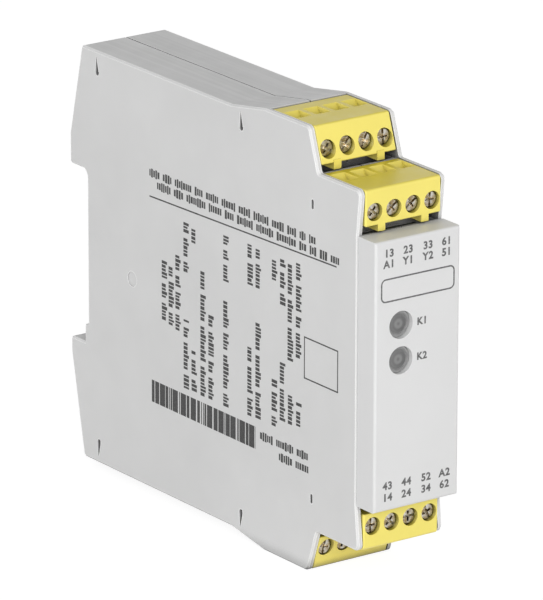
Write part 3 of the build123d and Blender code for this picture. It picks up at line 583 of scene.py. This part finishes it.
def stroke_text(bm, text, size, x, z):
    """Letters on the front face, centred on (x, z) in millimetres."""
    curve = bpy.data.curves.new("letters", "FONT")
    curve.body = text
    curve.size = size * MM
    curve.align_x = "CENTER"
    curve.align_y = "CENTER"
    curve.extrude = PRINT_THICK / 2
    curve.offset = LETTER_WEIGHT
    curve.space_character = LETTER_SPACE
    curve.resolution_u = LETTER_STEPS
    letters = bpy.data.objects.new("letters", curve)
    mesh = bpy.data.meshes.new_from_object(letters)
    mesh.transform(Matrix.Translation((x * MM, COVER_FRONT + PRINT_SINK - PRINT_THICK / 2, z * MM))
                   @ Matrix.Rotation(radians(90), 4, "X"))
    bm.from_mesh(mesh)
    bpy.data.objects.remove(letters)
    bpy.data.curves.remove(curve)
    bpy.data.meshes.remove(mesh)


def rounded_rectangle(half_width, low, high, radius):
    """Points of a rounded rectangle on the front face, in millimetres."""
    points = []
    corners = ((1, high, 0), (-1, high, 90), (-1, low, 180), (1, low, 270))
    for side, z, start in corners:
        middle_x = side * (half_width - radius)
        middle_z = z - radius if z == high else z + radius
        for step in range(CORNER_STEPS + 1):
            angle = radians(start + 90 * step / CORNER_STEPS)
            points.append(((middle_x + radius * cos(angle)) * MM, COVER_FRONT + PRINT_SINK,
                           (middle_z + radius * sin(angle)) * MM))
    return points


def cover_print():
    bm = bmesh.new()
    for z, numbers in NUMBER_ROWS:
        for x, number in zip(NUMBER_X, numbers):
            stroke_text(bm, number, NUMBER_SIZE, x, z)
    for x, z, name in LAMP_NAMES:
        stroke_text(bm, name, LAMP_NAME_SIZE, x, z)
    low, high = LABEL_HEIGHTS
    outer = rounded_rectangle(LABEL_HALF_WIDTH, low, high, LABEL_ROUND)
    inner = rounded_rectangle(LABEL_HALF_WIDTH - LABEL_LINE, low + LABEL_LINE, high - LABEL_LINE,
                              LABEL_ROUND - LABEL_LINE)
    ring_prism(bm, inner, outer, Vector((0, -PRINT_THICK, 0)))
    piece("cover_print", bm, COVER_INK, "module")


cover_print()

# Print on the left wall: a rule, a field of bars, and rows of plain ticks in place of words
WALL_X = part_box("housing_left")[0][0]
PRINT_SEED = 7
TICK_WIDTH = (0.45, 0.8)
TICK_SPACE = 0.22
WORD_TICKS = (3, 9)
WORD_SPACE = 1.1
TICK_HEIGHT = 1.5
TALL_SHARE = 0.3
TALL_TICK = 2.0
UPRIGHT_ROWS = (
    # distance from the rail, low end, high end
    (-29.7, -9.0, 5.3), (-32.3, -9.5, 4.0), (-34.9, -10.0, 7.6),
    (-38.0, -22.6, -6.4), (-38.0, 4.2, 16.0), (-41.0, -22.4, -13.0), (-41.0, 11.6, 16.4),
    (-44.4, -22.6, 7.8), (-47.4, -22.5, -2.4), (-53.0, -22.6, 2.2), (-53.0, 6.0, 16.6),
    (-62.0, -22.2, -6.0), (-62.0, 7.6, 16.8), (-65.0, -22.0, 0.6), (-65.0, 7.6, 16.6),
    (-71.0, -22.0, -11.2), (-71.0, 11.0, 17.0), (-74.0, -20.0, -5.6), (-74.0, 6.2, 17.0),
    (-77.0, -20.0, -13.4), (-76.8, -5.6, 17.2), (-80.0, -19.6, -13.8), (-79.8, -4.2, 17.2),
)
LEVEL_ROWS = (
    # height, start, end
    (21.2, -94.5, -27.0), (23.6, -86.0, -24.0), (-25.6, -66.0, -85.0), (-28.5, -73.0, -84.0),
)
RULE = ((-24.3, 18.3), (-93.6, 20.0))
RULE_THICK = 0.32
BAR_FIELD = (-25.0, -64.3)
BAR_LOW, BAR_HIGH = -29.2, -24.1
BAR_GAPS = (0.2, 0.3, 0.5)
BAR_WIDTHS = (0.3, 0.6, 1.0, 1.5, 2.0)
FRAME_CORNERS = ((-82.2, 1.2), (-94.2, 1.2), (-94.2, -8.0), (-82.2, -8.0))
FRAME_LINE = 0.3


def wall_shape(bm, corners):
    """Thin shape on the left wall between (y, z) corners in millimetres."""
    start = WALL_X + PRINT_SINK
    prism(bm, [(start, y * MM, z * MM) for y, z in corners], Vector((-PRINT_THICK, 0, 0)))


def wall_patch(bm, y_from, y_to, z_from, z_to):
    wall_shape(bm, ((y_from, z_from), (y_to, z_from), (y_to, z_to), (y_from, z_to)))


def tick_run(rng, length):
    """Ticks along a row of that length: (start, end, height), gathered in groups."""
    ticks = []
    at = 0.0
    while True:
        for _ in range(rng.randint(*WORD_TICKS)):
            width = rng.uniform(*TICK_WIDTH)
            if at + width > length:
                return ticks
            height = TALL_TICK if rng.random() < TALL_SHARE else TICK_HEIGHT
            ticks.append((at, at + width, height))
            at += width + TICK_SPACE
        at += WORD_SPACE


def side_print():
    rng = random.Random(PRINT_SEED)
    bm = bmesh.new()
    for y, low, high in UPRIGHT_ROWS:
        for start, end, height in tick_run(rng, high - low):
            wall_patch(bm, y + TICK_HEIGHT / 2 - height, y + TICK_HEIGHT / 2,
                       low + start, low + end)
    for z, first, last in LEVEL_ROWS:
        way = 1 if last > first else -1
        for start, end, height in tick_run(rng, abs(last - first)):
            wall_patch(bm, first + way * start, first + way * end,
                       z - height / 2, z + height / 2)
    (y_from, z_from), (y_to, z_to) = RULE
    wall_shape(bm, ((y_from, z_from), (y_to, z_to), (y_to, z_to - RULE_THICK),
                    (y_from, z_from - RULE_THICK)))
    at, end = BAR_FIELD
    while at > end:
        width = rng.choice(BAR_WIDTHS)
        wall_patch(bm, at, max(at - width, end), BAR_LOW, BAR_HIGH)
        at -= width + rng.choice(BAR_GAPS)
    half = FRAME_LINE / 2
    for (y_a, z_a), (y_b, z_b) in zip(FRAME_CORNERS, FRAME_CORNERS[1:] + FRAME_CORNERS[:1]):
        wall_patch(bm, min(y_a, y_b) - half, max(y_a, y_b) + half,
                   min(z_a, z_b) - half, max(z_a, z_b) + half)
    piece("side_print", bm, WALL_INK, "module")


side_print()

# Relief on the two lens faces
LENS_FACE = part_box("light_guide")[0][1]
LENS_PROFILE = (
    # height over the lens face, radius, in millimetres
    (-0.05, 2.85), (0.22, 2.85), (0.3, 2.75), (0.3, 2.35), (0.12, 2.2), (0.12, 1.75), (0.24, 1.6),
    (0.3, 1.2), (0.34, 0.6),
)
LENS_SEGMENTS = 48
LENS_SMOOTH = 40


def lens_relief(number, z):
    bm = bmesh.new()
    lathe(bm, [(-height * MM, steady(radius * MM)) for height, radius in LENS_PROFILE],
          LENS_SEGMENTS)
    bmesh.ops.translate(bm, verts=bm.verts, vec=(LAMP_X, LENS_FACE, z))
    piece(f"lens_relief_{number}", bm, LENS, "module", LENS_SMOOTH)


for number, lamp_z in enumerate(LAMP_Z, start=1):
    lens_relief(number, lamp_z)

# Terminal screws: cheese head with a combined slot and cross, and a fine thread
TURN_SEED = 21
THREAD_PITCH = 0.5 * MM
THREAD_DEPTH = 0.26 * MM
THREAD_STEPS = 6
TIP_TURNS = 2                # turns of the thread that narrow to the tip
TIP_TAPER = 0.25             # share of the radius that they lose
TIP_LEFT = 0.25              # share of that loss which the very tip is spared
SCREW_SEGMENTS = 40
SCREW_SMOOTH = 32
HEAD_HEIGHT = 1.3 * MM
HEAD_CHAMFER = 0.22 * MM
CHAMFER_DEPTH = 0.7          # of the chamfer's width, at the face
FACE_RING = 0.5              # of the head's radius, a ring of points within the face
SHANK_RADIUS = 1.2 * MM
SLOT_WIDTH = 0.62 * MM
SLOT_DEPTH = 0.72 * MM
SLOT_TAPER = 0.92            # width at the bottom to width at the face
CROSS_HALF = 1.2 * MM
CROSS_DEPTH = 0.95 * MM
CROSS_TAPER = 0.6
CUT_ABOVE = 0.3 * MM


def cutter(half_length, depth, taper):
    """Bar across the head, from above its face down to the depth, narrower at the bottom."""
    bm = bmesh.new()
    half = SLOT_WIDTH / 2
    sections = [[Vector((side * half_length, y, edge * half * share))
                 for side in (-1, 1) for edge in (-1, 1)]
                for y, share in ((-CUT_ABOVE, 1.0), (depth, taper))]
    top, low = [[bm.verts.new(point) for point in section] for section in sections]
    for section in (top, low):
        bm.faces.new((section[0], section[1], section[3], section[2]))
    for first, second in ((0, 1), (1, 3), (3, 2), (2, 0)):
        bm.faces.new((top[first], top[second], low[second], low[first]))
    bmesh.ops.recalc_face_normals(bm, faces=bm.faces)
    return linked("cutter", mesh_from("cutter", bm))


def thread_radius(y, share):
    """Radius at the height y as a function of the angle; share is 1 before the tip."""
    at = y / THREAD_PITCH
    narrowed = 1 - TIP_TAPER + TIP_TAPER * share

    def radius(angle):
        wave = abs((at - angle / (2 * pi)) % 1.0 - 0.5) * 2
        return (SHANK_RADIUS - THREAD_DEPTH * wave) * narrowed
    return radius


def screw_blank(head_radius, length):
    """Threaded screw with a plain head, along +Y from its face at the origin."""
    rings = [(y, steady(radius)) for y, radius in (
        (0.0, FACE_RING * head_radius), (0.0, head_radius - HEAD_CHAMFER),
        (HEAD_CHAMFER * CHAMFER_DEPTH, head_radius),
        (HEAD_HEIGHT - HEAD_CHAMFER / 2, head_radius),
        (HEAD_HEIGHT, head_radius - HEAD_CHAMFER / 2), (HEAD_HEIGHT, SHANK_RADIUS))]
    steps = int((length - HEAD_HEIGHT) / THREAD_PITCH * THREAD_STEPS)
    for step in range(1, steps + 1):
        y = HEAD_HEIGHT + (length - HEAD_HEIGHT) * step / steps
        share = min(1.0, (length - y) / (TIP_TURNS * THREAD_PITCH) + TIP_LEFT)
        rings.append((y, thread_radius(y, share)))
    bm = bmesh.new()
    lathe(bm, rings, SCREW_SEGMENTS)
    bmesh.ops.recalc_face_normals(bm, faces=bm.faces)
    return linked("blank", mesh_from("screw", bm))


def screw_mesh(head_radius, length):
    """The blank with its slot and cross cut in."""
    blank = screw_blank(head_radius, length)
    bars = [cutter(2 * head_radius, SLOT_DEPTH, SLOT_TAPER),
            cutter(CROSS_HALF, CROSS_DEPTH, CROSS_TAPER)]
    bars[1].rotation_euler = (0, radians(90), 0)
    for bar in bars:
        cut = blank.modifiers.new("cut", "BOOLEAN")
        cut.object = bar
        cut.operation = "DIFFERENCE"
        cut.solver = "EXACT"
    depsgraph = bpy.context.evaluated_depsgraph_get()
    depsgraph.update()
    final = bpy.data.meshes.new_from_object(blank.evaluated_get(depsgraph))
    for used in [blank] + bars:
        bpy.data.objects.remove(used)
    final.materials.clear()
    final.materials.append(SCREW)
    smoothed(final, SCREW_SMOOTH)
    return final


def terminal_screws():
    rng = random.Random(TURN_SEED)
    low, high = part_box("screw_top_rear_1")
    mesh = screw_mesh((high[0] - low[0]) / 2, high[1] - low[1])
    for place in PLACES:
        for pole in POLES:
            name = f"screw_{place}_{pole}"
            low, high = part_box(name)
            made = linked(f"terminal_{name}", mesh)
            turn = Matrix.Rotation(rng.uniform(0, pi), 4, "Y")
            centre = Vector(((low[0] + high[0]) / 2, low[1], (low[2] + high[2]) / 2))
            made.matrix_world = Matrix.Translation(centre) @ turn
            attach(made, name)
            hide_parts(name)


terminal_screws()

# Spring of the rail foot, as a round wire
SPRING_RADIUS = 1.2 * MM
SPRING_WIRE = 0.45 * MM
SPRING_TURNS = 5.5
SPRING_Y = 1.7 * MM
SPRING_STEPS = 36
SPRING_SIDES = 14
SPRING_SMOOTH = 50


def foot_spring():
    low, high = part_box("foot_spring")
    bottom = low[2] + SPRING_WIRE / 2
    rise = high[2] - low[2] - SPRING_WIRE
    steps = round(SPRING_TURNS * SPRING_STEPS)
    bm = bmesh.new()
    loops = []
    for step in range(steps + 1):
        angle = 2 * pi * step / SPRING_STEPS
        out = Vector((cos(angle), sin(angle), 0))
        centre = out * SPRING_RADIUS + Vector((0, SPRING_Y, bottom + rise * step / steps))
        along = Vector((-sin(angle) * SPRING_RADIUS, cos(angle) * SPRING_RADIUS,
                        rise / (2 * pi * SPRING_TURNS))).normalized()
        side = along.cross(out)
        turns = (2 * pi * i / SPRING_SIDES for i in range(SPRING_SIDES))
        loops.append([bm.verts.new(centre + (out * cos(turn) + side * sin(turn)) * SPRING_WIRE / 2)
                      for turn in turns])
    joined_rings(bm, loops)
    bm.faces.new(loops[0])
    bm.faces.new(reversed(loops[-1]))
    made = piece("coil_spring", bm, WIRE, "module", SPRING_SMOOTH)
    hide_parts("foot_spring")
    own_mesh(made)


foot_spring()

# Floor, world and lamps
FLOOR_SIZE = 30.0
FLOOR_ALBEDO = 0.8
FLOOR_SHOWN = 0.22           # share of the floor's shade that the camera sees
FLOOR_GLOW = 0.9
WORLD_STRENGTH = 0.36
WHITE_STRENGTH = 1.0
LAMPS = (
    # name, direction from the object, distance, size, power in watts
    ("key", (-0.5, -0.82, 0.3), 1.3, 0.9, 11.5),
    ("side", (-0.95, 0.1, 0.3), 1.4, 0.9, 3.2),
    ("fill", (0.85, -0.3, 0.35), 1.5, 1.0, 3.0),
)
LAMP_AIM = Vector((0, -0.05, 0))


def background_rays(tree):
    """1 for rays that show the background: camera, glossy and transmitted ones."""
    path = add(tree, "ShaderNodeLightPath")
    most = calculated(tree, "MAXIMUM", path.outputs["Is Camera Ray"], path.outputs["Is Glossy Ray"])
    return calculated(tree, "MAXIMUM", most, path.outputs["Is Transmission Ray"])


def split_by_ray(tree, lighting, shown):
    """One shader for the rays that light the object, another for those that show the ground."""
    return add(tree, "ShaderNodeMixShader",
               {0: background_rays(tree), 1: lighting.outputs[0], 2: shown.outputs[0]}).outputs[0]


def emptied(owner):
    """The owner's node tree, with nothing in it."""
    owner.use_nodes = True
    owner.node_tree.nodes.clear()
    return owner.node_tree


def make_floor():
    bm = bmesh.new()
    half = FLOOR_SIZE / 2
    z = cad_box[0][2]
    bm.faces.new([bm.verts.new((x, y, z))
                  for x, y in ((-half, -half), (half, -half), (half, half), (-half, half))])
    data = mesh_from("floor", bm)
    made = bpy.data.materials.new("floor")
    tree = emptied(made)
    plain = add(tree, "ShaderNodeBsdfDiffuse", {"Color": grey(FLOOR_ALBEDO)})
    faint = add(tree, "ShaderNodeBsdfDiffuse", {"Color": grey(FLOOR_SHOWN)})
    glow = add(tree, "ShaderNodeEmission", {"Color": grey(1.0), "Strength": FLOOR_GLOW})
    shown = add(tree, "ShaderNodeAddShader", {0: faint.outputs[0], 1: glow.outputs[0]})
    add(tree, "ShaderNodeOutputMaterial", {"Surface": split_by_ray(tree, plain, shown)})
    data.materials.append(made)
    linked("floor", data)


def make_world():
    world = bpy.data.worlds.new("studio")
    tree = emptied(world)
    soft, white = (add(tree, "ShaderNodeBackground", {"Color": grey(1.0), "Strength": strength})
                   for strength in (WORLD_STRENGTH, WHITE_STRENGTH))
    add(tree, "ShaderNodeOutputWorld", {"Surface": split_by_ray(tree, soft, white)})
    bpy.context.scene.world = world


def make_lamps():
    for name, direction, distance, size, power in LAMPS:
        data = bpy.data.lights.new(name, "AREA")
        data.shape = "DISK"
        data.size = size
        data.energy = power
        lamp = linked(name, data)
        way = Vector(direction).normalized()
        lamp.location = LAMP_AIM + way * distance
        lamp.rotation_euler = way.to_track_quat("Z", "Y").to_euler()


make_floor()
make_world()
make_lamps()
